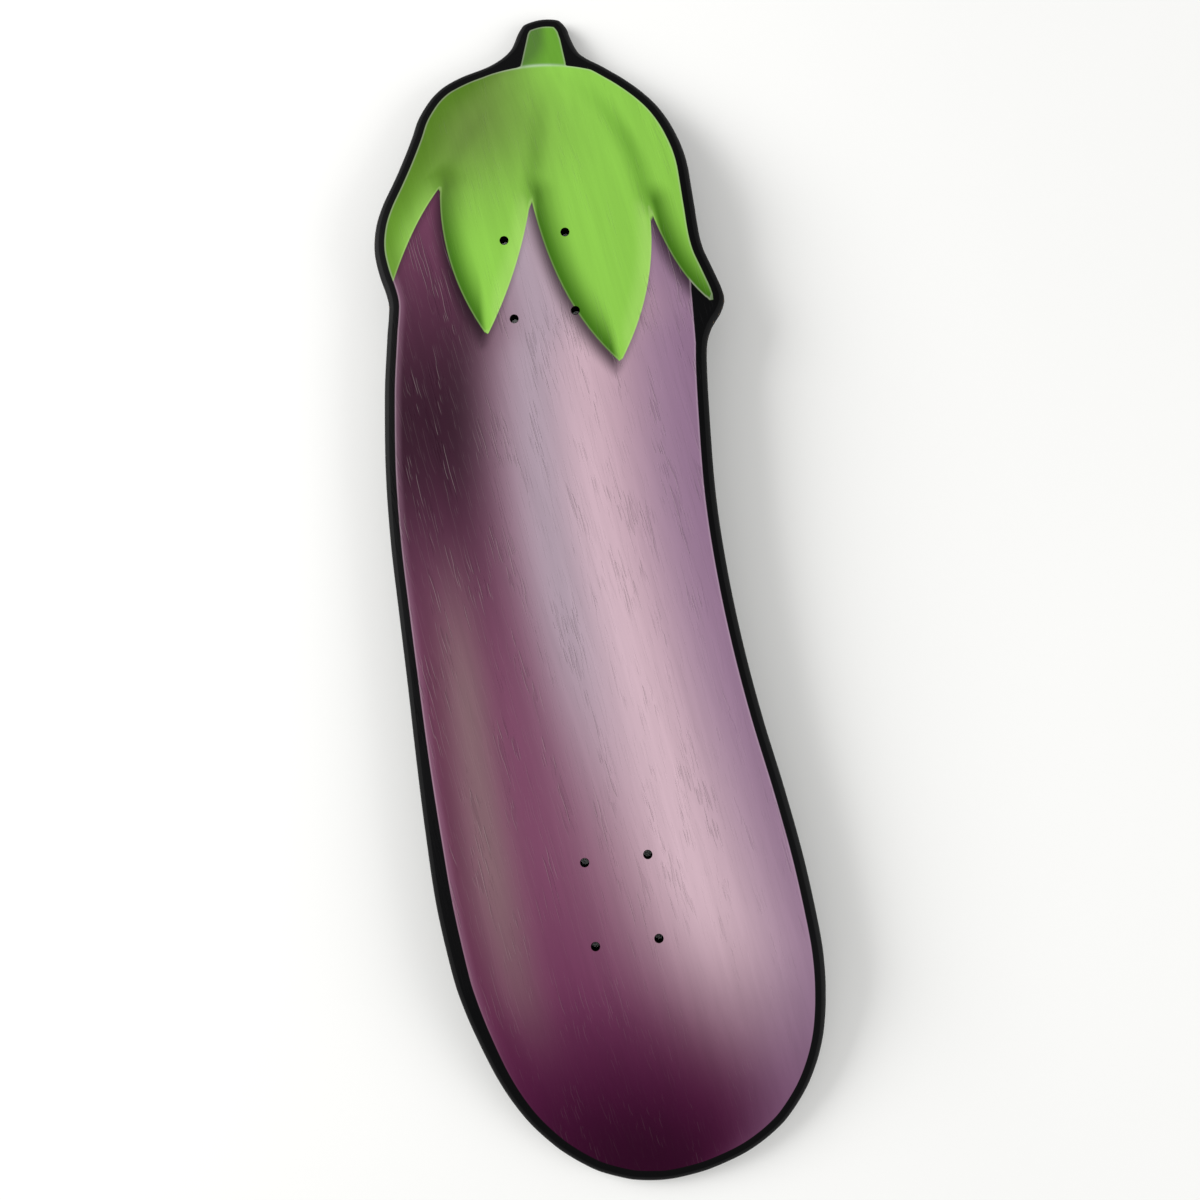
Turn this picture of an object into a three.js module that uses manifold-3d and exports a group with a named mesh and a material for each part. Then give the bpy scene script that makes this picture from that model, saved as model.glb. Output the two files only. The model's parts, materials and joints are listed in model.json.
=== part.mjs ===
// An eggplant-shaped skateboard deck: seven maple veneers pressed over one mould, sawn to the
// outline of an eggplant whose stem is the nose, rounded along the rim and drilled for two trucks.
// Millimetres, +Z up. The deck lies with its printed underside up, on the tips of nose and tail.
// +Y runs from the tail to the nose and +X to the right, seen from above.

import * as THREE from "three";
import { mergeVertices } from "three/addons/utils/BufferGeometryUtils.js";
import Module from "manifold-3d";

// Veneers, listed from the riding face, which faces down here, up to the printed face
const PLY_THICKNESS = 1.5875;
const BLACK_STAIN = { color: 0x25292a, roughness: 0.42, metalness: 0 };
const BARE_MAPLE = { color: 0xd8b68a, roughness: 0.6, metalness: 0 };
const PURPLE_PRINT = { color: 0x7c5570, roughness: 0.38, metalness: 0 };
const VENEERS = [
  { name: "riding_face_veneer", finish: BLACK_STAIN },
  { name: "long_grain_ply_2", finish: BARE_MAPLE },
  { name: "cross_grain_ply_3", finish: BARE_MAPLE },
  { name: "long_grain_core_4", finish: BARE_MAPLE },
  { name: "cross_grain_ply_5", finish: BARE_MAPLE },
  { name: "long_grain_ply_6", finish: BARE_MAPLE },
  { name: "printed_face_veneer", finish: PURPLE_PRINT },
];

// Mould: a flat middle, rails that turn away from the printed face, and a kick at either end
const FLAT_HALF_WIDTH = 34;
const CONCAVE_RADIUS = 400;
const KICK_START = 250;
const KICK_RADIUS = 120;
const KICK_RISE = 40;

// Trucks: two standard four-bolt patterns about the middle of the deck
const BOLT_SPACING_ACROSS = 41.28;
const BOLT_SPACING_ALONG = 53.98;
const INNER_BOLT_SPAN = 362;
const BOLT_HOLE_DIAMETER = 5.6;
const BOLT_HOLE_SIDES = 12;
const DRILL_LENGTH = 60;

// Rim: the outline that the saw follows, as [x, y] from the middle of the truck holes, seen from the
// printed side. It starts at the tail, runs up the right side, round the stem and down the left side.
const RIM_RADIUS = 4.5;
const OUTLINE = [
  [2, -404], [33, -399.5], [63, -389], [88, -372], [106, -349], [119, -318], [125, -275],
  [124, -225], [116, -158], [104, -80], [97.5, 0], [97.5, 65], [102, 117], [105.5, 150],
  [112.5, 164], [120, 173], [121, 182], [116.5, 199], [111, 217], [109.5, 250], [108, 285],
  [98, 318], [82, 341], [62, 360], [48, 372.5], [43, 386], [40, 399], [34, 406],
  [22, 408], [11, 405], [4, 395], [0, 386], [-13, 375], [-33, 369], [-54, 359], [-69, 341],
  [-78, 319], [-90, 293], [-105, 264], [-109.5, 243], [-107, 221], [-104, 207], [-108, 183],
  [-114.5, 145], [-122, 70], [-123, -40], [-123, -160], [-119, -230], [-108, -281],
  [-92, -330], [-71, -364], [-43, -389], [-23, -398.5],
];
const OUTLINE_SAMPLES = 6000;

// Lengthwise stations of the mesh, as [from, to, steps]: close together where the rim or mould bends
const TAIL_END = -403.2;
const NOSE_END = 407.4;
const STATIONS = [
  [TAIL_END, -398, 2], [-398, -370, 4], [-370, -298, 4], [-298, -KICK_START, 4],
  [-KICK_START, 142, 8], [142, KICK_START, 12], [KICK_START, 298, 4], [298, 350, 4],
  [350, 402, 9], [402, NOSE_END, 2],
];
const SIDE_STEPS = 2;
const SIDE_SHARE = 0.25;

// Tips: the riding side is trimmed back a little, so the deck lies on two short straight edges.
// Both the trim and the rim's inset fade out over END_BLEND, which keeps the rows in order.
const TIP_TRIM = 3.5;
const END_BLEND = 40;

const stackThickness = VENEERS.length * PLY_THICKNESS;
const wasm = await Module();
wasm.setup();

// The kick's angle brings the end of the deck down by KICK_RISE over its plan length
function kickAngle(planLength) {
  const shortfall = 2 * KICK_RADIUS - KICK_RISE;
  const root = Math.sqrt(planLength ** 2 - shortfall * KICK_RISE);
  return 2 * Math.atan((planLength - root) / shortfall);
}

// Drop and slope of an arc that starts level and runs on straight at its final angle
function arcThenStraight(run, radius, angle) {
  const arcRun = radius * Math.sin(angle);
  if (run <= 0) {
    return { drop: 0, slope: 0 };
  }
  if (run < arcRun) {
    const height = Math.sqrt(radius ** 2 - run ** 2);
    return { drop: radius - height, slope: run / height };
  }
  const slope = Math.tan(angle);
  return { drop: radius * (1 - Math.cos(angle)) + (run - arcRun) * slope, slope };
}

const noseAngle = kickAngle(NOSE_END - KICK_START);
const tailAngle = kickAngle(-TAIL_END - KICK_START);

// A point at a height above the middle surface, measured along that surface's normal
function pressed(x, y, height) {
  const rail = arcThenStraight(Math.abs(x) - FLAT_HALF_WIDTH, CONCAVE_RADIUS, Math.PI / 4);
  const kick = arcThenStraight(Math.abs(y) - KICK_START, KICK_RADIUS, y > 0 ? noseAngle : tailAngle);
  const normal = new THREE.Vector3(Math.sign(x) * rail.slope, Math.sign(y) * kick.slope, 1).normalize();
  return new THREE.Vector3(x, y, -rail.drop - kick.drop).addScaledVector(normal, height);
}

// The rim's two sides: samples of the outline from tail to nose, each with its way into the wood
function rimSides() {
  const points = OUTLINE.map(([x, y]) => new THREE.Vector3(x, y, 0));
  const curve = new THREE.CatmullRomCurve3(points, true, "centripetal");
  const samples = [];
  for (let i = 0; i < OUTLINE_SAMPLES; i += 1) {
    const at = curve.getPoint(i / OUTLINE_SAMPLES);
    const along = curve.getTangent(i / OUTLINE_SAMPLES);
    samples.push({ x: at.x, y: at.y, inX: -along.y, inY: along.x });
  }
  const byStation = (a, b) => a.y - b.y;
  return {
    right: samples.filter((sample) => sample.inX < 0).sort(byStation),
    left: samples.filter((sample) => sample.inX >= 0).sort(byStation),
  };
}

const rim = rimSides();

// The rim point at a station, moved into the wood by an inset
function rimPoint(side, station, inset) {
  const next = side.findIndex((sample) => sample.y > station);
  const [a, b] = [side[next - 1], side[next]];
  const share = (station - a.y) / (b.y - a.y);
  const into = new THREE.Vector2(a.inX, a.inY).lerp(new THREE.Vector2(b.inX, b.inY), share);
  const point = new THREE.Vector2(a.x, a.y).lerp(new THREE.Vector2(b.x, b.y), share);
  return point.addScaledVector(into.normalize(), inset);
}

function stationList() {
  const list = [TAIL_END];
  for (const [from, to, steps] of STATIONS) {
    for (let i = 1; i <= steps; i += 1) {
      list.push(THREE.MathUtils.lerp(from, to, i / steps));
    }
  }
  return list;
}

// A move towards the middle of the deck that is full at either end and fades out from there
function endShift(station, amount) {
  const nearTail = Math.max(0, 1 - (station - TAIL_END) / END_BLEND);
  const nearNose = Math.max(0, 1 - (NOSE_END - station) / END_BLEND);
  return amount * (nearTail - nearNose);
}

// The rounded rim: how far the plies draw back from the outline at a height off the middle surface
function rimInset(height) {
  const intoRound = Math.max(0, Math.abs(height) - (stackThickness / 2 - RIM_RADIUS));
  return RIM_RADIUS - Math.sqrt(RIM_RADIUS ** 2 - intoRound ** 2);
}

// One row of plan points across the deck: rim, side, flat middle, side, rim
function planRow(station, height) {
  const inset = rimInset(height);
  const trim = TIP_TRIM * Math.max(0, -height) / (stackThickness / 2);
  const trimmed = station + endShift(station, trim);
  const left = rimPoint(rim.left, trimmed, inset);
  const right = rimPoint(rim.right, trimmed, inset);
  const width = right.x - left.x;
  const flatLeft = Math.max(-FLAT_HALF_WIDTH, left.x + SIDE_SHARE * width);
  const flatRight = Math.min(FLAT_HALF_WIDTH, right.x - SIDE_SHARE * width);
  const innerY = trimmed + endShift(station, inset);
  const innerLeft = new THREE.Vector2(flatLeft, innerY);
  const innerRight = new THREE.Vector2(flatRight, innerY);
  const row = [];
  for (let i = 0; i <= SIDE_STEPS; i += 1) {
    row.push(left.clone().lerp(innerLeft, i / SIDE_STEPS));
  }
  for (let i = 0; i <= SIDE_STEPS; i += 1) {
    row.push(innerRight.clone().lerp(right, i / SIDE_STEPS));
  }
  return row;
}

const stations = stationList();

// A face of a veneer, as rows of points
function veneerFace(height) {
  return stations.map((station) => planRow(station, height).map((p) => pressed(p.x, p.y, height)));
}

// A veneer: the sheet between two faces, closed along its rim
function veneerSolid(lower, upper) {
  const rows = lower.length;
  const columns = lower[0].length;
  const positions = [...lower.flat(), ...upper.flat()].flatMap((p) => [p.x, p.y, p.z]);
  const below = (row, column) => row * columns + column;
  const above = (row, column) => rows * columns + below(row, column);
  const triangles = [];
  const quad = (a, b, c, d) => triangles.push(a, b, c, a, c, d);
  for (let i = 0; i < rows - 1; i += 1) {
    for (let j = 0; j < columns - 1; j += 1) {
      quad(above(i, j), above(i, j + 1), above(i + 1, j + 1), above(i + 1, j));
      triangles.push(below(i, j), below(i + 1, j + 1), below(i, j + 1));
      triangles.push(below(i, j), below(i + 1, j), below(i + 1, j + 1));
    }
    const last = columns - 1;
    quad(below(i + 1, 0), below(i, 0), above(i, 0), above(i + 1, 0));
    quad(below(i, last), below(i + 1, last), above(i + 1, last), above(i, last));
  }
  for (let j = 0; j < columns - 1; j += 1) {
    const last = rows - 1;
    quad(below(0, j), below(0, j + 1), above(0, j + 1), above(0, j));
    quad(below(last, j + 1), below(last, j), above(last, j), above(last, j + 1));
  }
  return solid(positions, triangles);
}

function solid(positions, triangles) {
  const vertProperties = new Float32Array(positions);
  const triVerts = new Uint32Array(triangles);
  return new wasm.Manifold(new wasm.Mesh({ numProp: 3, vertProperties, triVerts }));
}

// Eight drill bits standing through the deck, one for each truck bolt
function drillBits() {
  const bits = [];
  for (const end of [-1, 1]) {
    for (const bolt of [0, 1]) {
      for (const side of [-1, 1]) {
        const bit = new THREE.CylinderGeometry(
          BOLT_HOLE_DIAMETER / 2, BOLT_HOLE_DIAMETER / 2, DRILL_LENGTH, BOLT_HOLE_SIDES);
        bit.rotateX(Math.PI / 2);
        const y = end * (INNER_BOLT_SPAN / 2 + bolt * BOLT_SPACING_ALONG);
        bit.translate(side * BOLT_SPACING_ACROSS / 2, y, 0);
        bit.deleteAttribute("normal");
        bit.deleteAttribute("uv");
        const merged = mergeVertices(bit);
        bits.push(solid(merged.attributes.position.array, merged.index.array));
      }
    }
  }
  return bits;
}

function drilledMesh(veneer, body, bits) {
  const drilled = bits.reduce((wood, bit) => wood.subtract(bit), body);
  const { vertProperties, triVerts } = drilled.getMesh();
  const geometry = new THREE.BufferGeometry();
  geometry.setAttribute("position", new THREE.BufferAttribute(vertProperties, 3));
  geometry.setIndex(new THREE.BufferAttribute(triVerts, 1));
  geometry.computeVertexNormals();
  const mesh = new THREE.Mesh(geometry, new THREE.MeshStandardMaterial(veneer.finish));
  mesh.name = veneer.name;
  return mesh;
}

const deck = new THREE.Group();
const bits = drillBits();
const faces = [];
for (let i = 0; i <= VENEERS.length; i += 1) {
  faces.push(veneerFace(i * PLY_THICKNESS - stackThickness / 2));
}
VENEERS.forEach((veneer, i) => {
  deck.add(drilledMesh(veneer, veneerSolid(faces[i], faces[i + 1]), bits));
});

// The origin is on the ground, below the middle of the deck's length and width
const box = new THREE.Box3().setFromObject(deck);
const middle = box.getCenter(new THREE.Vector3());
deck.position.set(-middle.x, -middle.y, -box.min.z);

export default deck;
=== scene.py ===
# An eggplant-shaped skateboard deck, lying printed side up on the tips of its nose and tail.

import json
import math

import bmesh
import bpy
import numpy as np
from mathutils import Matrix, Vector


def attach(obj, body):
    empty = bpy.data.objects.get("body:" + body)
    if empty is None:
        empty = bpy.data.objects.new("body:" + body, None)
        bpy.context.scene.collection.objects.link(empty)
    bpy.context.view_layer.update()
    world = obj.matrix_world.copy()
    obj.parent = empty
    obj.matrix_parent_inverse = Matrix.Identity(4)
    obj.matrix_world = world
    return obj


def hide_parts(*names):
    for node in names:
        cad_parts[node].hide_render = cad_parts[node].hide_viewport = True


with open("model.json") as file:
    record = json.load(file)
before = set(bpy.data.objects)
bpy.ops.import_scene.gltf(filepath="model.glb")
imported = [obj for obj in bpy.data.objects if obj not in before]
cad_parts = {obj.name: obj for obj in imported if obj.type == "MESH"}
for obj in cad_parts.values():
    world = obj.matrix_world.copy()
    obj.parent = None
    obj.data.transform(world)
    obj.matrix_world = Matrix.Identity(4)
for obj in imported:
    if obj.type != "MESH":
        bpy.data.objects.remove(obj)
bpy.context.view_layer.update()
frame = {"nodes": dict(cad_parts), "record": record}


# The view
# The camera looks down on the printed side from arm's length, turned a little, so that the
# stem at the nose leans to the left of the picture.
PICTURE_SIDE_PX = 1200
FOCAL_LENGTH_PX = 1135
VIEW_TURN = (math.radians(3.54), math.radians(0.99), math.radians(-7.6))
VIEW_STEP_BACK = Vector((0.0132, -0.0115, 0.7468))

pads = {mount["name"]: Vector(mount["pos_m"]) for mount in frame["record"]["mounts"]}
deck_middle = (pads["truck_pad_nose"] + pads["truck_pad_tail"]) / 2

bpy.ops.object.camera_add()
camera = bpy.context.object
camera.name = "view_from_above"
camera.rotation_mode = "ZYX"
camera.rotation_euler = VIEW_TURN
camera.location = deck_middle + camera.rotation_euler.to_matrix() @ VIEW_STEP_BACK
camera.data.lens = camera.data.sensor_width * FOCAL_LENGTH_PX / PICTURE_SIDE_PX
bpy.context.scene.camera = camera


# The inner plies
# Five sheets of hard maple veneer, their grain lengthwise and crosswise by turns. They are glued and
# pressed over the mould together with the two face veneers, then sawn, rounded, drilled and painted.
PLY = 0.0015875
STACK = PLY * 7
INNER_PLIES = {2: "long_grain_ply_2", 3: "cross_grain_ply_3", 4: "long_grain_core_4",
               5: "cross_grain_ply_5", 6: "long_grain_ply_6"}
INNER_MESH = {"columns": 24, "rows": 320, "rim_steps": 4}

# the mould, measured from the middle of the deck
FLAT_HALF_WIDTH = 0.034
CONCAVE_RADIUS = 0.4
STEEPEST_RAIL = math.radians(45)
KICK_START = 0.25
KICK_RADIUS = 0.12
KICK_RISE = 0.04

# the rim, all of which is seen from one place on the deck's middle line; the riding side is trimmed
# at the tips, where the deck lies on the floor
RIM_RADIUS = 0.0045
RIM_STEPS = 24
RIM_SEEN_FROM = 0.1
TIP_TRIM = 0.0035
TIP_FLAT = 0.00005
END_ROW = 0.0005
ROW_CROWDING = 0.95

# the holes for the truck bolts
PAD_HALF_WIDTH = 0.03
BOLT_SPACING = (0.04128, 0.05398)
BOLT_HOLE_RADIUS = 0.0028
HOLE_EDGE_BREAK = 0.00025
DRILL_SIDES = 48
DRILL_OVERRUN = 0.01

# what counts as one point, as a level face, as standing upright and as a smooth turn
SAME_POINT = 1e-6
LEVEL = 0.001
UPRIGHT = 0.5
SMOOTH_UP_TO = math.radians(40)

# bare maple, the walls of the bolt holes darkened as painted shade, and the paint on the edge, as they
# look on screen
MAPLE = "c79a63"
PALE_MAPLE = "e2c08c"
MAPLE_PORES = "9a6d40"
HOLE_SHADE_DARKEST = "070504"
HOLE_SHADE_BROWNISH = "120d0a"
EDGE_BLACK = "050506"
EDGE_ON_LONG_GRAIN = "0c0c0d"
EDGE_ON_CROSS_GRAIN = "141312"


def sawn_outline(core):
    """The rim of the core ply's upper face as seen from above, in order round it.

    The short straight edge at either tip becomes one point, so that the tips are round."""
    ply = bmesh.new()
    ply.from_mesh(core.data)
    bmesh.ops.remove_doubles(ply, verts=ply.verts, dist=SAME_POINT)
    points = []
    for corner in ply.verts:
        place = corner.co - deck_middle
        tilts = [face.normal.z for face in corner.link_faces]
        on_upper_rim = max(tilts) > UPRIGHT and min(map(abs, tilts)) < UPRIGHT
        in_pad = abs(place.x) < PAD_HALF_WIDTH and abs(place.y) < KICK_START
        if on_upper_rim and not in_pad:
            points.append((place.x, place.y))
    ply.free()
    points = np.array(points)
    for tip in (points[:, 1].min(), points[:, 1].max()):
        on_end = np.abs(points[:, 1] - tip) < END_ROW
        points = np.vstack([points[~on_end], points[on_end].mean(axis=0)])
    turn = np.arctan2(points[:, 1] - RIM_SEEN_FROM, points[:, 0])
    return points[np.argsort(turn)]


def smooth_loop(points, steps):
    """Points on a smooth closed curve through the given ones, by centripetal Catmull-Rom spans."""
    before, after = np.roll(points, 1, axis=0), np.roll(points, -1, axis=0)
    beyond = np.roll(points, -2, axis=0)
    gap = np.sqrt(np.linalg.norm(after - points, axis=1))[:, None]
    gap_before, gap_after = np.roll(gap, 1, axis=0), np.roll(gap, -1, axis=0)
    leave = (points - before) / gap_before - (after - before) / (gap_before + gap)
    leave = (leave + (after - points) / gap) * gap
    arrive = (after - points) / gap - (beyond - points) / (gap + gap_after)
    arrive = (arrive + (beyond - after) / gap_after) * gap
    spans = []
    for t in np.arange(steps) / steps:
        hold, go = 2 * t**3 - 3 * t**2 + 1, 3 * t**2 - 2 * t**3
        bend = (t**3 - 2 * t**2 + t) * leave + (t**3 - t**2) * arrive
        spans.append(hold * points + go * after + bend)
    return np.stack(spans, axis=1).reshape(-1, 2)


# the rim's line round the deck, with the way from each of its points into the wood
cad_rim = sawn_outline(frame["nodes"]["long_grain_core_4"])
rim_line = smooth_loop(cad_rim, RIM_STEPS)
rim_ahead = np.roll(rim_line, -1, axis=0) - np.roll(rim_line, 1, axis=0)
rim_ahead /= np.linalg.norm(rim_ahead, axis=1)[:, None]
rim_into = np.stack([-rim_ahead[:, 1], rim_ahead[:, 0]], axis=1)


def arc_then_straight(run, radius, angle):
    """Drop and slope of a bend at a run from its level start: an arc, then straight at an angle."""
    on_arc = np.clip(run, 0, radius * math.sin(angle))
    height = np.sqrt(radius**2 - on_arc**2)
    past = np.maximum(run - on_arc, 0) * (run > 0)
    return radius - height + past * math.tan(angle), on_arc / height


def kick_angle(reach):
    """The angle at which a kick of that reach falls by the kick's rise."""
    shortfall = 2 * KICK_RADIUS - KICK_RISE
    length = reach - KICK_START
    return 2 * math.atan((length - math.sqrt(length**2 - shortfall * KICK_RISE)) / shortfall)


def pressed(x, y, height):
    """Plan points laid on the mould's middle surface and moved off it by a height along its normal."""
    rail_run = np.abs(x) - FLAT_HALF_WIDTH
    rail_drop, rail_slope = arc_then_straight(rail_run, CONCAVE_RADIUS, STEEPEST_RAIL)
    nose = arc_then_straight(y - KICK_START, KICK_RADIUS, kick_angle(cad_rim[:, 1].max()))
    tail = arc_then_straight(-y - KICK_START, KICK_RADIUS, kick_angle(-cad_rim[:, 1].min()))
    normal = np.stack([np.sign(x) * rail_slope, nose[1] - tail[1], np.ones_like(x)], axis=1)
    normal /= np.linalg.norm(normal, axis=1)[:, None]
    surface = np.stack([x, y, -STACK / 2 - rail_drop - nose[0] - tail[0]], axis=1)
    return surface + normal * height + np.array(deck_middle)


def row_ends(height, share):
    """Left end, right end and station of rows across the deck, with the rim rounded at that height."""
    into_round = max(0, abs(height) - (STACK / 2 - RIM_RADIUS))
    inset = RIM_RADIUS - math.sqrt(RIM_RADIUS**2 - into_round**2)
    trim = TIP_TRIM * max(0, -height) / (STACK / 2) + TIP_FLAT
    line = rim_line + inset * rim_into
    tail, nose = np.argmin(line[:, 1]), np.argmax(line[:, 1])
    right = np.roll(line, -tail, axis=0)[: (nose - tail) % len(line) + 1]
    left = np.roll(line, -nose, axis=0)[: (tail - nose) % len(line) + 1][::-1]
    station = line[tail, 1] + trim + share * (line[nose, 1] - line[tail, 1] - 2 * trim)
    ends = []
    for side in (left, right):
        ends.append(np.interp(station, np.maximum.accumulate(side[:, 1]), side[:, 0]))
    return ends[0], ends[1], station


def linear(hex_colour):
    """A colour as it looks on screen, turned into the linear values a shader takes."""
    shades = [int(hex_colour[start:start + 2], 16) / 255 for start in (0, 2, 4)]
    return [s / 12.92 if s < 0.04045 else ((s + 0.055) / 1.055) ** 2.4 for s in shades] + [1]


def add_node(tree, kind, inputs=None, **settings):
    """A node with its settings, each input either linked to a socket or set to a value."""
    made = tree.nodes.new(kind)
    for name, value in settings.items():
        setattr(made, name, value)
    for name, value in (inputs or {}).items():
        if isinstance(value, bpy.types.NodeSocket):
            tree.links.new(value, made.inputs[name])
        else:
            made.inputs[name].default_value = value
    return made


def math_node(tree, operation, first, second=0.0):
    """An operation on one or two numbers."""
    return add_node(tree, "ShaderNodeMath", {0: first, 1: second}, operation=operation).outputs[0]


def vector_node(tree, operation, first, second):
    """An operation on two vectors or colours, axis by axis."""
    inputs = {0: first, 1: second}
    return add_node(tree, "ShaderNodeVectorMath", inputs, operation=operation).outputs[0]


def both(tree, first, second):
    """Where two shares meet, or a share made weaker."""
    return math_node(tree, "MULTIPLY", first, second)


def fade(tree, value, start, end):
    """0 at the start and 1 at the end of a stretch of the value, smooth between them."""
    inputs = {"Value": value, "From Min": start, "From Max": end}
    eased = add_node(tree, "ShaderNodeMapRange", inputs, interpolation_type="SMOOTHSTEP")
    return eased.outputs["Result"]


def carried_over(tree, value, old_ends, new_ends):
    """A value moved from one stretch to another, straight between the ends and held beyond them."""
    inputs = {"Value": value, "From Min": old_ends[0], "From Max": old_ends[1],
              "To Min": new_ends[0], "To Max": new_ends[1]}
    return add_node(tree, "ShaderNodeMapRange", inputs).outputs["Result"]


def noise(tree, place, detail, **others):
    """Smooth noise from 0 to 1, with bumps of about one unit unless a Scale is given."""
    inputs = {"Vector": place, "Scale": 1.0, "Detail": detail, **others}
    return add_node(tree, "ShaderNodeTexNoise", inputs).outputs["Fac"]


def tint(tree, share, below, above, strength=None):
    """A colour laid over another by a share, at less than full strength where one is given."""
    if strength is not None:
        share = both(tree, share, strength)
    mix = add_node(tree, "ShaderNodeMix", {"Factor": share}, data_type="RGBA")
    # the node's sockets for colours come after those for numbers and vectors
    first_colour, second_colour, mixed_colour = mix.inputs[6], mix.inputs[7], mix.outputs[2]
    for socket, colour in ((first_colour, below), (second_colour, above)):
        if isinstance(colour, str):
            socket.default_value = linear(colour)
        else:
            tree.links.new(colour, socket)
    return mixed_colour


def new_material(name, **values):
    """A material and its shader, with the values that are the same all over set on the shader."""
    material = bpy.data.materials.new(name)
    material.use_nodes = True
    shader = material.node_tree.nodes["Principled BSDF"]
    for socket, value in values.items():
        shader.inputs[socket.replace("_", " ")].default_value = value
    return material, material.node_tree, shader


# the grain, which runs along Y: bumps to the metre across, along and through the sheet
FIGURE_PER_METRE = (160.0, 7.0, 60.0)
PATCHES_PER_METRE = (90.0, 16.0, 60.0)
TRUNK_PER_METRE = (14.0, 1.6, 6.0)

# the heights of the noise between which a patch of open grain, a pore and a fibre come in
PATCH_EDGE = (0.5, 0.64)
PORE_EDGE = (0.58, 0.67)
FIBRE_EDGE = (0.4, 0.3)

# a pore's size through the sheet, the shift of its painted highlight in pore widths, and a fibre's
# height in pore depths
PORE_THROUGH = 0.004
HIGHLIGHT_SHIFT = (0.35, 0.0, 0.0)
FIBRE_HEIGHT = 0.7

# the years of growth, and the parts of a year in which its ring comes in and goes out
YEARS = 11.0
RING_START = (0.86, 0.96)
RING_END = (1.0, 0.965)


def maple_grain_group():
    """Broad figure, growth rings, and fine pores with the fibres between them.

    Each pore has a painted highlight along one side. The relief is raised at the fibres and sunk at the
    pores."""
    group = bpy.data.node_groups.new("maple_grain", "ShaderNodeTree")
    group.interface.new_socket("Place", in_out="INPUT", socket_type="NodeSocketVector")
    for name in ("Lean", "Pore width", "Pore length", "Cover"):
        group.interface.new_socket(name, in_out="INPUT", socket_type="NodeSocketFloat")
    given = group.nodes.new("NodeGroupInput").outputs
    turning = {"Vector": given["Place"], "Angle": given["Lean"]}
    turned = add_node(group, "ShaderNodeVectorRotate", turning, rotation_type="Z_AXIS").outputs["Vector"]

    strips = vector_node(group, "MULTIPLY", turned, PATCHES_PER_METRE)
    patches = fade(group, noise(group, strips, detail=2.0), *PATCH_EDGE)
    spread = carried_over(group, patches, (0.0, 1.0), (given["Cover"], 1.0))
    pore_size = {"X": given["Pore width"], "Y": given["Pore length"], "Z": PORE_THROUGH}
    pore_size = add_node(group, "ShaderNodeCombineXYZ", pore_size).outputs["Vector"]
    here = vector_node(group, "DIVIDE", turned, pore_size)
    fine_here = noise(group, here, detail=0.5, Roughness=0.4)
    # a painted highlight on one side of each pore: the pores shifted aside, less the pores themselves
    beside = vector_node(group, "ADD", here, HIGHLIGHT_SHIFT)
    fine_beside = noise(group, beside, detail=0.5, Roughness=0.4)
    pores = both(group, fade(group, fine_here, *PORE_EDGE), spread)
    pores_beside = both(group, fade(group, fine_beside, *PORE_EDGE), spread)
    pore_highlights = math_node(group, "MAXIMUM", math_node(group, "SUBTRACT", pores_beside, pores), 0.0)
    fibres = both(group, fade(group, fine_here, *FIBRE_EDGE), patches)
    relief = math_node(group, "SUBTRACT", both(group, fibres, FIBRE_HEIGHT), pores)

    broad = vector_node(group, "MULTIPLY", turned, FIGURE_PER_METRE)
    figure = noise(group, broad, detail=3.0, Distortion=0.6)
    slice_of_trunk = vector_node(group, "MULTIPLY", turned, TRUNK_PER_METRE)
    years = noise(group, slice_of_trunk, detail=1.5, Roughness=0.35)
    within_year = math_node(group, "FRACT", both(group, years, YEARS))
    rings = both(group, fade(group, within_year, *RING_START), fade(group, within_year, *RING_END))

    results = {"Figure": figure, "Rings": rings, "Pores": pores, "Pore highlights": pore_highlights, "Fibres": fibres,
               "Relief": relief}
    for name in results:
        group.interface.new_socket(name, in_out="OUTPUT", socket_type="NodeSocketFloat")
    put_out = group.nodes.new("NodeGroupOutput").inputs
    for name, socket in results.items():
        group.links.new(socket, put_out[name])
    return group


maple_grain = maple_grain_group()


def add_grain(tree, lean, pore_width, pore_length, cover):
    """The grain's outputs at each place of the piece, with that cover of pores outside the patches."""
    place = add_node(tree, "ShaderNodeTexCoord").outputs["Object"]
    inputs = {"Place": place, "Lean": lean, "Pore width": pore_width, "Pore length": pore_length,
              "Cover": cover}
    return add_node(tree, "ShaderNodeGroup", inputs, node_tree=maple_grain).outputs


def add_relief(tree, shader, height, depth):
    """Relief in the surface of that depth in metres."""
    bump = add_node(tree, "ShaderNodeBump", {"Height": height, "Strength": 1.0, "Distance": depth})
    tree.links.new(bump.outputs["Normal"], shader.inputs["Normal"])


def add_gloss(tree, shader, figure, smoothest, roughest):
    """Roughness that follows the wood's figure."""
    roughness = carried_over(tree, figure, (0.0, 1.0), (smoothest, roughest))
    tree.links.new(roughness, shader.inputs["Roughness"])


def bare_veneer(name, lean):
    """Peeled maple as it comes from the knife, its grain turned by a lean."""
    material, tree, shader = new_material(name, Roughness=0.6)
    grain = add_grain(tree, lean, pore_width=0.0007, pore_length=0.008, cover=0.3)
    wood = tint(tree, grain["Figure"], MAPLE, PALE_MAPLE)
    tree.links.new(tint(tree, grain["Pores"], wood, MAPLE_PORES), shader.inputs["Base Color"])
    add_relief(tree, shader, grain["Relief"], depth=0.0001)
    return material


def hole_wall_shade():
    """The walls of the bolt holes, near-black with a little brown along the figure and without shine:
    painted shade inside the holes.
    """
    material, tree, shader = new_material("hole_wall_painted_shade", Roughness=0.8, Specular_IOR_Level=0.0)
    grain = add_grain(tree, lean=0.0, pore_width=0.0006, pore_length=0.0006, cover=0.5)
    # near-black walls stand in for the shade inside the bolt holes
    wall = tint(tree, grain["Figure"], HOLE_SHADE_DARKEST, HOLE_SHADE_BROWNISH)
    tree.links.new(wall, shader.inputs["Base Color"])
    return material


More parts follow.
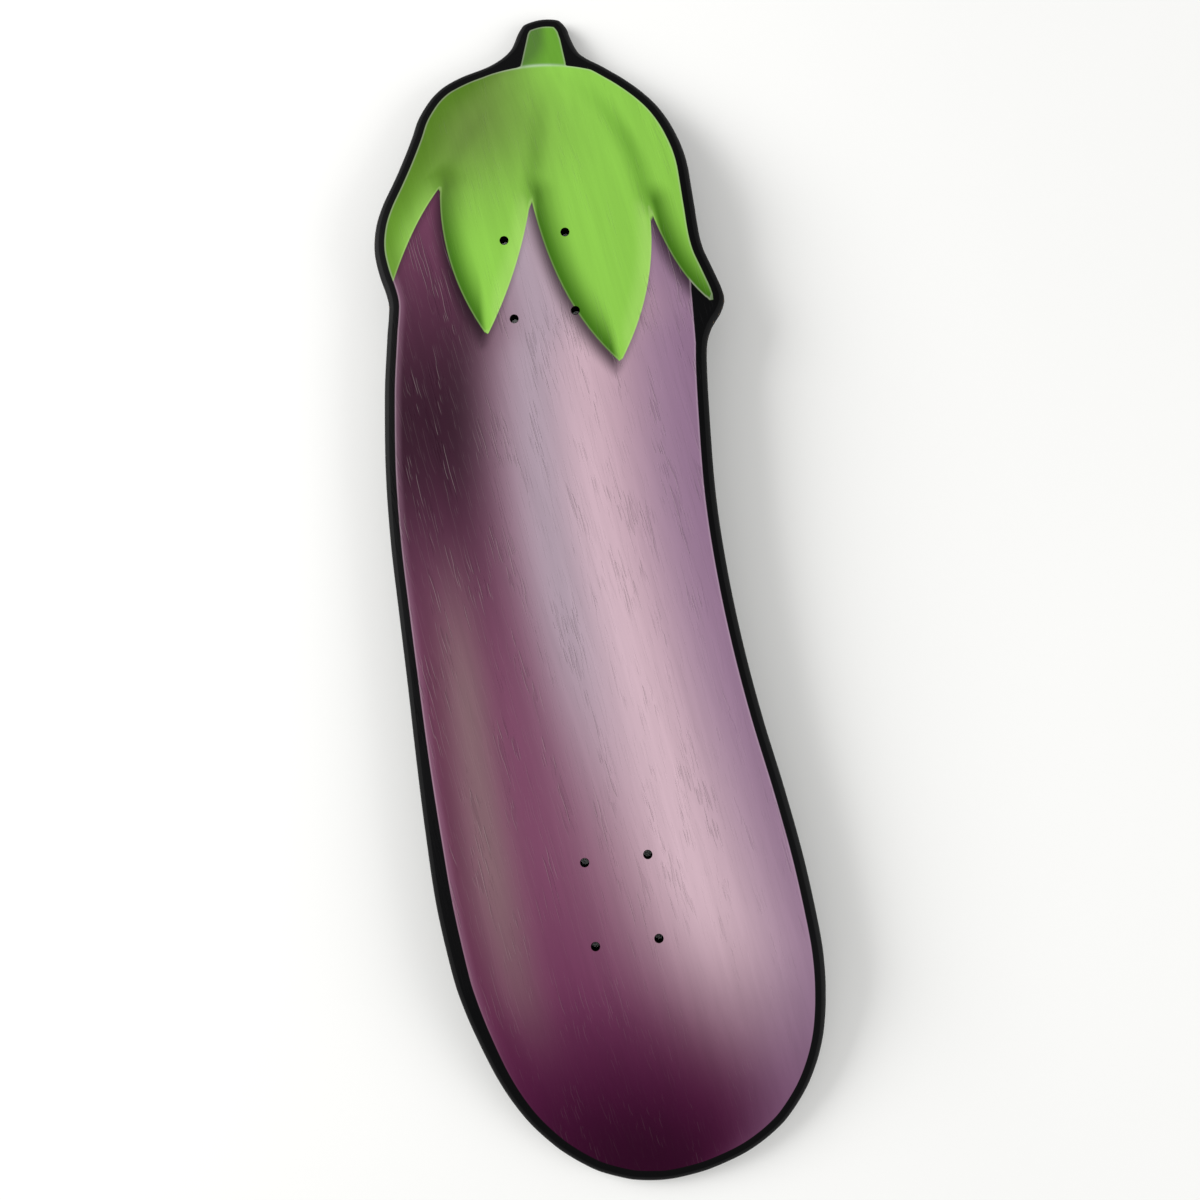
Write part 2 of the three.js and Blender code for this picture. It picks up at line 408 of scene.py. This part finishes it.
def edge_paint(name, pore_length, greyest, smoothest, roughest, depth):
    """Black paint on a sanded ply edge, duller and greyer where end grain has soaked it up."""
    material, tree, shader = new_material(name, Specular_IOR_Level=0.12)
    grain = add_grain(tree, lean=0.0, pore_width=0.0012, pore_length=pore_length, cover=0.3)
    tree.links.new(tint(tree, grain["Figure"], EDGE_BLACK, greyest), shader.inputs["Base Color"])
    add_gloss(tree, shader, grain["Figure"], smoothest, roughest)
    add_relief(tree, shader, grain["Relief"], depth)
    return material


bare_maple = bare_veneer("bare_maple", lean=0.0)
bare_maple_crosswise = bare_veneer("bare_maple_crosswise", lean=math.pi / 2)
paint_on_long_grain = edge_paint("edge_paint_on_long_grain", pore_length=0.006,
                                 greyest=EDGE_ON_LONG_GRAIN, smoothest=0.5, roughest=0.62,
                                 depth=0.00003)
paint_on_cross_grain = edge_paint("edge_paint_on_cross_grain", pore_length=0.0012,
                                  greyest=EDGE_ON_CROSS_GRAIN, smoothest=0.6, roughest=0.77,
                                  depth=0.00006)

# One drill for all seven plies: eight bits that stand where the truck bolts go, each a little wider
# outside the two faces, which takes the sharp edge off the holes.
bolt_places = []
for pad in pads.values():
    for across in (-BOLT_SPACING[0] / 2, BOLT_SPACING[0] / 2):
        for along in (-BOLT_SPACING[1] / 2, BOLT_SPACING[1] / 2):
            bolt_places.append(pad + Vector((across, along, 0)))
wide_radius = BOLT_HOLE_RADIUS + HOLE_EDGE_BREAK
narrowing = BOLT_HOLE_RADIUS / wide_radius
bits = []
for place in bolt_places:
    bpy.ops.object.select_all(action="DESELECT")
    foot = place - Vector((0, 0, STACK + DRILL_OVERRUN))
    bpy.ops.mesh.primitive_circle_add(vertices=DRILL_SIDES, radius=wide_radius, fill_type="NGON",
                                      location=foot)
    bits.append(bpy.context.object)
    bpy.ops.object.mode_set(mode="EDIT")
    bpy.ops.mesh.select_all(action="SELECT")
    for rise, widening in ((DRILL_OVERRUN, 1), (HOLE_EDGE_BREAK, narrowing),
                           (STACK - 2 * HOLE_EDGE_BREAK, 1), (HOLE_EDGE_BREAK, 1 / narrowing),
                           (DRILL_OVERRUN, 1)):
        bpy.ops.mesh.extrude_region_move(TRANSFORM_OT_translate={"value": (0, 0, rise)})
        bpy.ops.transform.resize(value=(widening, widening, 1), center_override=place)
    bpy.ops.mesh.select_all(action="SELECT")
    bpy.ops.mesh.normals_make_consistent(inside=False)
    bpy.ops.object.mode_set(mode="OBJECT")
for bit in bits:
    bit.select_set(True)
bpy.ops.object.join()
drill = bpy.context.object
drill.name = "bolt_hole_drill"
drill.data.materials.append(hole_wall_shade())


def flat_sheet(name, columns, rows, rim_steps):
    """A level slab, 2 by 2 and 1 high, with its top and bottom in a grid and its sides in steps."""
    bpy.ops.object.select_all(action="DESELECT")
    bpy.ops.mesh.primitive_grid_add(x_subdivisions=columns, y_subdivisions=rows, size=2)
    veneer = bpy.context.object
    veneer.name = name
    bpy.ops.object.mode_set(mode="EDIT")
    bpy.ops.mesh.select_all(action="SELECT")
    bpy.ops.mesh.extrude_region_move(TRANSFORM_OT_translate={"value": (0, 0, 1)})
    bpy.ops.mesh.select_all(action="SELECT")
    bpy.ops.mesh.normals_make_consistent(inside=False)
    bpy.ops.mesh.select_mode(type="EDGE")
    bpy.ops.mesh.select_all(action="DESELECT")
    sheet = bmesh.from_edit_mesh(veneer.data)
    for edge in sheet.edges:
        edge.select_set(abs(edge.verts[0].co.z - edge.verts[1].co.z) > UPRIGHT)
    bmesh.update_edit_mesh(veneer.data)
    bpy.ops.mesh.subdivide(number_cuts=rim_steps - 1)
    bpy.ops.object.mode_set(mode="OBJECT")
    return veneer


def vertex_places(mesh):
    """A mesh's vertices, a row of X, Y and Z for each."""
    places = np.empty(len(mesh.vertices) * 3)
    mesh.vertices.foreach_get("co", places)
    return places.reshape(-1, 3)


def press_veneer(name, ply, columns, rows, rim_steps, below, rim, above):
    """One ply as a solid sheet: sawn to the outline, pressed over the mould and drilled.

    Its lower face, rim and upper face have a material each, and the drill leaves its own in the
    holes."""
    veneer = flat_sheet(name, columns, rows, rim_steps)
    flat = vertex_places(veneer.data)
    finishes = list(dict.fromkeys((below, rim, above)))
    for finish in finishes:
        veneer.data.materials.append(finish)
    for face in veneer.data.polygons:
        heights = flat[face.vertices, 2]
        finish = rim
        if heights.max() - heights.min() < LEVEL:
            finish = above if heights.min() > UPRIGHT else below
        face.material_index = finishes.index(finish)

    # the rows lie closer together towards the tips
    along = (flat[:, 1] + 1) / 2
    share = along - ROW_CROWDING * np.sin(2 * math.pi * along) / (2 * math.pi)
    solid = np.empty_like(flat)
    for step in range(rim_steps + 1):
        level = step / rim_steps
        here = np.abs(flat[:, 2] - level) < LEVEL
        height = (ply - 1 + level) * PLY - STACK / 2
        left, right, station = row_ends(height, share[here])
        across = (flat[here, 0] + 1) / 2
        solid[here] = pressed(left + (right - left) * across, station, height)
    veneer.data.vertices.foreach_set("co", solid.ravel())
    veneer.data.update()

    drilling = veneer.modifiers.new("bolt_holes", "BOOLEAN")
    drilling.object = drill
    drilling.solver = "MANIFOLD"
    drilling.material_mode = "TRANSFER"
    bpy.ops.object.modifier_apply(modifier="bolt_holes")
    bpy.ops.object.shade_smooth_by_angle(angle=SMOOTH_UP_TO)
    return veneer


for number, node in INNER_PLIES.items():
    crosswise = "cross" in node
    wood = bare_maple_crosswise if crosswise else bare_maple
    paint = paint_on_cross_grain if crosswise else paint_on_long_grain
    name = node.split("_")[0] + "_grain_sheet_" + str(number)
    sheet = press_veneer(name, number, **INNER_MESH, below=wood, rim=paint, above=wood)
    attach(sheet, "root")
    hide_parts(node)


# The riding face
# A maple veneer with its grain lengthwise, stained black and lacquered thinly, so that its pores
# and figure show. It faces the floor here; on a finished board the grip tape goes over it.
RIDING_FACE_PLY = 1
RIDING_FACE_MESH = {"columns": 60, "rows": 320, "rim_steps": 8}

# the stain as it looks on screen, with the painted highlight beside the pores
STAIN = "161c1a"
PALE_STAIN = "2e3934"
STAINED_RINGS = "4a5852"
STAINED_FIBRES = "45534d"
STAINED_PORE_HIGHLIGHTS = "52615b"
STAINED_FINE_PORES = "080a0a"
STAINED_PORES = "040505"


def black_stain():
    """Greenish black that is paler along the fibres and the rings, with a painted highlight beside each
    pore.
    """
    material, tree, shader = new_material("black_stain", Specular_IOR_Level=0.25)
    grain = add_grain(tree, lean=-0.04, pore_width=0.001, pore_length=0.008, cover=0.9)
    finer_grain = add_grain(tree, lean=-0.02, pore_width=0.0008, pore_length=0.0045, cover=1.0)
    stain = tint(tree, fade(tree, grain["Figure"], 0.3, 0.7), STAIN, PALE_STAIN)
    stain = tint(tree, grain["Rings"], stain, STAINED_RINGS, strength=0.32)
    stain = tint(tree, grain["Fibres"], stain, STAINED_FIBRES, strength=0.3)
    # painted highlight beside each pore
    stain = tint(tree, grain["Pore highlights"], stain, STAINED_PORE_HIGHLIGHTS, strength=0.35)
    stain = tint(tree, finer_grain["Pores"], stain, STAINED_FINE_PORES, strength=0.8)
    stain = tint(tree, grain["Pores"], stain, STAINED_PORES, strength=0.95)
    tree.links.new(stain, shader.inputs["Base Color"])
    add_gloss(tree, shader, grain["Figure"], smoothest=0.42, roughest=0.58)
    add_relief(tree, shader, grain["Relief"], depth=0.00012)
    return material


riding_face = press_veneer("stained_riding_face", RIDING_FACE_PLY, **RIDING_FACE_MESH,
                           below=black_stain(), rim=paint_on_long_grain, above=bare_maple)
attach(riding_face, "root")
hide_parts("riding_face_veneer")


# The printed face
# A maple veneer with a picture of an eggplant transferred onto it in ink under satin lacquer: green
# cap and stem at the nose, purple fruit with a long pale sheen, on a black ground that runs to the rim.
PRINTED_FACE_PLY = 7
PRINTED_FACE_MESH = {"columns": 100, "rows": 340, "rim_steps": 8}

# the black ground's width inside the rim, and how much wider it is along the fruit's left side
BORDER = 0.0075
BELLY_BORDER = 0.004
BELLY_PLACE = -0.21
BELLY_REACH = 0.11

# the picture's outlines, across and along from the middle of the deck
FRUIT_END = 0.3
SHOULDER_STATIONS = (0.13, 0.23)
SHOULDER_PLACES = (0.0965, 0.102)
CAP_EDGE = ((-0.099, 0.219), (-0.083, 0.252), (-0.059, 0.280), (-0.067, 0.222), (-0.040, 0.172),
            (-0.012, 0.214), (0.001, 0.262), (0.008, 0.186), (0.046, 0.142), (0.079, 0.190),
            (0.079, 0.246), (0.090, 0.196), (0.114, 0.175))
AROUND_NOSE = ((0.15, 0.17), (0.15, 0.45), (-0.15, 0.45), (-0.15, 0.21))
CAP_FOLDS = (((-0.059, 0.280), (-0.035, 0.335), (0.012, 0.362)),
             ((0.001, 0.262), (0.012, 0.320), (0.020, 0.362)),
             ((0.079, 0.246), (0.072, 0.325), (0.032, 0.362)))
STEM_STATIONS = (0.367, 0.399)
STEM_HALF_WIDTHS = (0.0160, 0.0102)
STEM_MIDDLES = (0.0205, 0.0240)
COLLAR_SLOPE = 0.13
DOME_RADIUS = 0.11

# the points along a curve, and the rows at which the deck's sides are read
CURVE_STEPS = 16
SIDE_ROWS = 400

# the step towards the light, the cap's shadow on the fruit, and how far one ink bleeds into the next
LIT_FROM = (0.0054, 0.0027)
CAST_SHADOW = (-0.004, -0.006)
BLEED = 0.0002

# the sheen's place across the fruit towards the nose and the tail, the cool streak's gap to its left,
# the bow of the shade at the tail, and how much the wood's figure darkens and lightens the inks
SHEEN_STATIONS = (0.2, -0.3)
SHEEN_PLACES = (0.60, 0.74)
COOL_SHEEN_GAP = 0.16
DUSK_MIDDLE = 0.3
DUSK_BOW = -0.2
FIGURE_SHOWING = (0.88, 1.1)

# the fruit's inks as they look on screen
PLUM = "73405c"
LILAC = "8b6c88"
LEFT_SHADE = "2b0e1f"
LEFT_SIDE = "4a2032"
GREY_STREAK = "7d6467"
SHEEN = "cdb0bb"
COOL_SHEEN = "a798a5"
DUSK = "591943"
TAIL_END = "2c001e"
LEFT_GLOW = "8f6a80"
UNDER_CAP = "1a0a14"

# the inks of the cap and the stem
LEAF_GREEN = "88c24a"
CREASE = "4f8420"
LOBE_SHADE = "3a6a10"
LOBE_LIGHT = "b6e07c"
OLIVE = "5d7236"
LEFT_OF_CAP = "48700f"
STEM_SHADE = "4f7630"
STEM_GREEN = "639a30"
PALE_COLLAR = "b4cbac"
PALE_CAP_EDGE = "d6e6a8"

# the line round the picture, the grain that shows through it with a painted highlight by each pore, and
# the ground
EDGE_LINE = "cdb9c6"
INKED_PORES = "2a1a24"
PAINTED_PORE_HIGHLIGHTS = "e8d2d4"
BLACK_GROUND = "040405"


def bent_path(corners):
    """Points along curves from each corner to the next but one, drawn to the corner between them."""
    t = np.linspace(0, 1, CURVE_STEPS)[:, None]
    paths = []
    for start, pull, end in zip(corners[:-2:2], corners[1:-1:2], corners[2::2]):
        toward, away = (1 - t)**2 * np.array(start), t**2 * np.array(end)
        paths.append(toward + 2 * t * (1 - t) * np.array(pull) + away)
    return np.concatenate(paths)


def path_distance(points, path):
    """Distance from each point to the nearest place on a path."""
    nearest = np.full(len(points), np.inf)
    for start, end in zip(path[:-1], path[1:]):
        step = end - start
        length = max(step @ step, SAME_POINT**2)
        away = points - start
        along = np.clip(away @ step / length, 0, 1)
        nearest = np.minimum(nearest, np.linalg.norm(away - along[:, None] * step, axis=1))
    return nearest


def depth_inside(points, loop):
    """Distance in from a closed loop, below zero outside it."""
    nearest = path_distance(points, loop)
    inside = np.zeros(len(points), dtype=bool)
    for start, end in zip(loop[:-1], loop[1:]):
        if start[1] != end[1]:
            crosses = (start[1] > points[:, 1]) != (end[1] > points[:, 1])
            reach = start[0] + (points[:, 1] - start[1]) / (end[1] - start[1]) * (end[0] - start[0])
            inside ^= crosses & (points[:, 0] < reach)
    return np.where(inside, nearest, -nearest)


def picture_marks(places):
    """What the print reads at each point of the face, as a value for every point under each name.

    across runs from 0 at the picture's left side to 1 at its right, and lit from 1 on the lobes' dark
    side to -1 on their light side. The others are in metres: along from the middle of the deck, collar
    above the cap's top, fold from the nearest fold, and picture, cap and cast inside their outlines."""
    x, y = places[:, 0], places[:, 1]
    cap_edge = bent_path(CAP_EDGE)
    cap_loop = np.concatenate([cap_edge, AROUND_NOSE, cap_edge[:1]])
    cap_depth = depth_inside(places, cap_loop)
    ahead = depth_inside(places + np.array(LIT_FROM), cap_loop)
    behind = depth_inside(places - np.array(LIT_FROM), cap_loop)
    folds = [path_distance(places, bent_path(fold)) for fold in CAP_FOLDS]

    every_sixth_point = rim_line[::6]
    rim_depth = path_distance(places, np.concatenate([every_sixth_point, rim_line[:1]]))
    wider = BELLY_BORDER * np.exp(-((y - BELLY_PLACE) / BELLY_REACH)**2) * (x < 0)
    ground_depth = rim_depth - BORDER - wider
    shoulder = np.interp(y, SHOULDER_STATIONS, SHOULDER_PLACES, left=1, right=1)
    fruit_depth = np.minimum(np.minimum(ground_depth, shoulder - x), FRUIT_END - y)
    stem_reach = np.interp(y, STEM_STATIONS, STEM_HALF_WIDTHS)
    stem_depth = stem_reach - np.abs(x - np.interp(y, STEM_STATIONS, STEM_MIDDLES))
    from_stem = x - STEM_MIDDLES[0]
    dome = STEM_STATIONS[0] - COLLAR_SLOPE * from_stem - from_stem**2 / (2 * DOME_RADIUS)
    stem_depth = np.maximum(stem_depth, dome - y)
    leaf_depth = np.minimum(np.minimum(ground_depth, cap_depth), stem_depth)

    left_side, right_side, rows = row_ends(0, np.linspace(0, 1, SIDE_ROWS))
    left_here = np.interp(y, rows, left_side) + BORDER
    right_here = np.interp(y, rows, right_side) - BORDER
    return {
        "across": np.clip((x - left_here) / (right_here - left_here), 0, 1),
        "along": y,
        "picture": np.maximum(fruit_depth, leaf_depth),
        "cap": cap_depth,
        "cast": depth_inside(places - np.array(CAST_SHADOW), cap_loop),
        "lit": (ahead - behind) / (2 * np.linalg.norm(LIT_FROM)),
        "fold": np.min(folds, axis=0),
        "collar": y - dome,
    }


def attribute(tree, name):
    """A value that the mesh holds at each of its points."""
    return add_node(tree, "ShaderNodeAttribute", attribute_name=name).outputs["Fac"]


def streak(tree, value, centre, width):
    """A soft band about a centre."""
    off = math_node(tree, "DIVIDE", math_node(tree, "SUBTRACT", value, centre), width)
    return math_node(tree, "EXPONENT", both(tree, both(tree, off, off), -1.0))


def fruit_ink(tree, across, along, picture, cast):
    """The fruit, from its plum ground up to the sheen, then the shade at the tail and under the cap."""
    fruit = tint(tree, fade(tree, across, 0.6, 0.9), PLUM, LILAC)
    lower = fade(tree, along, 0.06, -0.08)
    shade = both(tree, fade(tree, across, 0.47, 0.2), streak(tree, along, 0.12, 0.13))
    fruit = tint(tree, shade, fruit, LEFT_SHADE, strength=0.97)
    side = both(tree, streak(tree, across, 0.055, 0.05), lower)
    fruit = tint(tree, side, fruit, LEFT_SIDE, strength=0.55)
    above_tail = both(tree, lower, fade(tree, along, -0.345, -0.25))
    grey = both(tree, streak(tree, across, 0.15, 0.07), above_tail)
    fruit = tint(tree, grey, fruit, GREY_STREAK, strength=0.75)

    sheen_place = carried_over(tree, along, SHEEN_STATIONS, SHEEN_PLACES)
    sheen = both(tree, streak(tree, across, sheen_place, 0.2), fade(tree, along, -0.38, -0.22))
    fuller = carried_over(tree, along, (0.2, -0.05), (0.8, 0.97))
    fruit = tint(tree, sheen, fruit, SHEEN, strength=fuller)
    beside_sheen = math_node(tree, "SUBTRACT", sheen_place, COOL_SHEEN_GAP)
    cool = both(tree, streak(tree, across, beside_sheen, 0.11), fade(tree, along, -0.2, 0.0))
    fruit = tint(tree, cool, fruit, COOL_SHEEN, strength=0.75)

    off_middle = math_node(tree, "SUBTRACT", across, DUSK_MIDDLE)
    bow = both(tree, both(tree, off_middle, off_middle), DUSK_BOW)
    towards_tail = math_node(tree, "SUBTRACT", bow, along)
    fruit = tint(tree, fade(tree, towards_tail, 0.16, 0.37), fruit, DUSK)
    fruit = tint(tree, fade(tree, towards_tail, 0.25, 0.39), fruit, TAIL_END)
    glow = both(tree, fade(tree, picture, 0.006, 0.0005), fade(tree, along, -0.33, -0.2))
    glow = both(tree, glow, fade(tree, across, 0.6, 0.3))
    fruit = tint(tree, glow, fruit, LEFT_GLOW, strength=0.35)
    return tint(tree, fade(tree, cast, -0.006, 0.006), fruit, UNDER_CAP, strength=0.85)


def leaf_ink(tree, across, along, picture, cap, lit, fold, collar):
    """The cap, its lobes lit from the right, and the stem above a pale collar."""
    creased = both(tree, fade(tree, fold, 0.011, 0.0), fade(tree, along, 0.362, 0.29))
    leaf = tint(tree, creased, LEAF_GREEN, CREASE, strength=0.5)
    dark_side = both(tree, fade(tree, lit, 0.0, 0.9), fade(tree, cap, 0.021, 0.0))
    leaf = tint(tree, dark_side, leaf, LOBE_SHADE)
    light_side = both(tree, fade(tree, lit, 0.0, -0.9), fade(tree, cap, 0.014, 0.002))
    leaf = tint(tree, light_side, leaf, LOBE_LIGHT, strength=0.35)
    upper_left = both(tree, fade(tree, across, 0.85, 0.2), fade(tree, along, 0.22, 0.33))
    leaf = tint(tree, upper_left, leaf, OLIVE, strength=0.85)
    turned_away = both(tree, fade(tree, picture, 0.03, 0.0), fade(tree, across, 0.4, 0.1))
    leaf = tint(tree, turned_away, leaf, LEFT_OF_CAP, strength=0.8)

    stem = tint(tree, fade(tree, across, 0.35, 0.75), STEM_SHADE, STEM_GREEN)
    leaf = tint(tree, fade(tree, collar, -0.0005, 0.0005), leaf, stem)
    rim_of_collar = both(tree, streak(tree, collar, 0.0, 0.0012), streak(tree, across, 0.62, 0.25))
    leaf = tint(tree, rim_of_collar, leaf, PALE_COLLAR, strength=0.65)
    return tint(tree, streak(tree, cap, 0.0005, 0.0005), leaf, PALE_CAP_EDGE, strength=0.15)


def eggplant_print():
    """The picture in its inks, with the veneer's figure and open grain showing through, and painted
    highlights by the pores.
    """
    material, tree, shader = new_material("eggplant_print", Specular_IOR_Level=0.06)
    grain = add_grain(tree, lean=-0.14, pore_width=0.0013, pore_length=0.021, cover=0.2)
    across, along = attribute(tree, "across"), attribute(tree, "along")
    picture, cap, cast = attribute(tree, "picture"), attribute(tree, "cap"), attribute(tree, "cast")
    lit, fold, collar = attribute(tree, "lit"), attribute(tree, "fold"), attribute(tree, "collar")

    fruit = fruit_ink(tree, across, along, picture, cast)
    leaf = leaf_ink(tree, across, along, picture, cap, lit, fold, collar)
    ink = tint(tree, fade(tree, cap, -BLEED, BLEED), fruit, leaf)
    edge_line = both(tree, streak(tree, picture, 0.0005, 0.0005), fade(tree, along, -0.36, -0.1))
    ink = tint(tree, edge_line, ink, EDGE_LINE, strength=0.25)
    figure = carried_over(tree, grain["Figure"], (0.0, 1.0), FIGURE_SHOWING)
    ink = vector_node(tree, "MULTIPLY", ink, figure)

    # the ink lies thicker over the cap and the tail, and fills the grain there
    thin_on_fruit = carried_over(tree, cap, (-0.001, 0.001), (1.0, 0.2))
    thin_off_tail = carried_over(tree, along, (-0.17, -0.3), (1.0, 0.15))
    open_grain = both(tree, thin_on_fruit, thin_off_tail)
    ink = tint(tree, both(tree, grain["Pores"], open_grain), ink, INKED_PORES, strength=0.12)
    # painted highlight beside each pore, where light would catch the grain
    ink = tint(tree, both(tree, grain["Pore highlights"], open_grain), ink, PAINTED_PORE_HIGHLIGHTS, strength=0.14)
    ink = tint(tree, fade(tree, picture, -BLEED, BLEED), BLACK_GROUND, ink)
    tree.links.new(ink, shader.inputs["Base Color"])
    add_gloss(tree, shader, grain["Figure"], smoothest=0.48, roughest=0.62)
    add_relief(tree, shader, both(tree, grain["Relief"], open_grain), depth=0.0004)
    return material


printed_face = press_veneer("printed_face", PRINTED_FACE_PLY, **PRINTED_FACE_MESH,
                            below=bare_maple, rim=paint_on_long_grain, above=eggplant_print())
face_places = vertex_places(printed_face.data)[:, :2] - np.array(deck_middle)[:2]
for name, values in picture_marks(face_places).items():
    layer = printed_face.data.attributes.new(name, "FLOAT", "POINT")
    layer.data.foreach_set("value", values.astype(np.float32))
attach(printed_face, "root")
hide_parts("printed_face_veneer")
bpy.data.objects.remove(drill)


# The studio
# A plain pale floor under an even white sky, with two large soft lamps, the stronger one from the
# upper left, low enough to show the grain and to keep its reflection out of the flat face.
FLOOR_SIDE = 40
FLOOR_SHADES = ("f1f1ef", "f6f6f4")
SKY_STRENGTH = 0.55
LAMPS = {"key_lamp": {"place": (-1.9, 0.9, 1.2), "side": 1.5, "watts": 54},
         "fill_lamp": {"place": (2.0, -0.9, 1.3), "side": 1.8, "watts": 24}}

floor_paint, tree, shader = new_material("pale_floor", Roughness=0.8)
spot = add_node(tree, "ShaderNodeTexCoord").outputs["Object"]
mottle = noise(tree, spot, detail=2.0, Scale=2.0)
tree.links.new(tint(tree, mottle, *FLOOR_SHADES), shader.inputs["Base Color"])
bpy.ops.mesh.primitive_plane_add(size=FLOOR_SIDE)
floor = bpy.context.object
floor.name = "floor"
floor.data.materials.append(floor_paint)

world = bpy.data.worlds.new("studio_sky")
world.use_nodes = True
sky = world.node_tree.nodes["Background"].inputs
sky["Color"].default_value = (1, 1, 1, 1)
sky["Strength"].default_value = SKY_STRENGTH
bpy.context.scene.world = world
bpy.context.scene.view_settings.view_transform = "Standard"

for name, setting in LAMPS.items():
    bpy.ops.object.light_add(type="AREA", location=setting["place"])
    lamp = bpy.context.object
    lamp.name = name
    lamp.rotation_euler = (-Vector(setting["place"])).to_track_quat("-Z", "Y").to_euler()
    lamp.data.size = setting["side"]
    lamp.data.energy = setting["watts"]
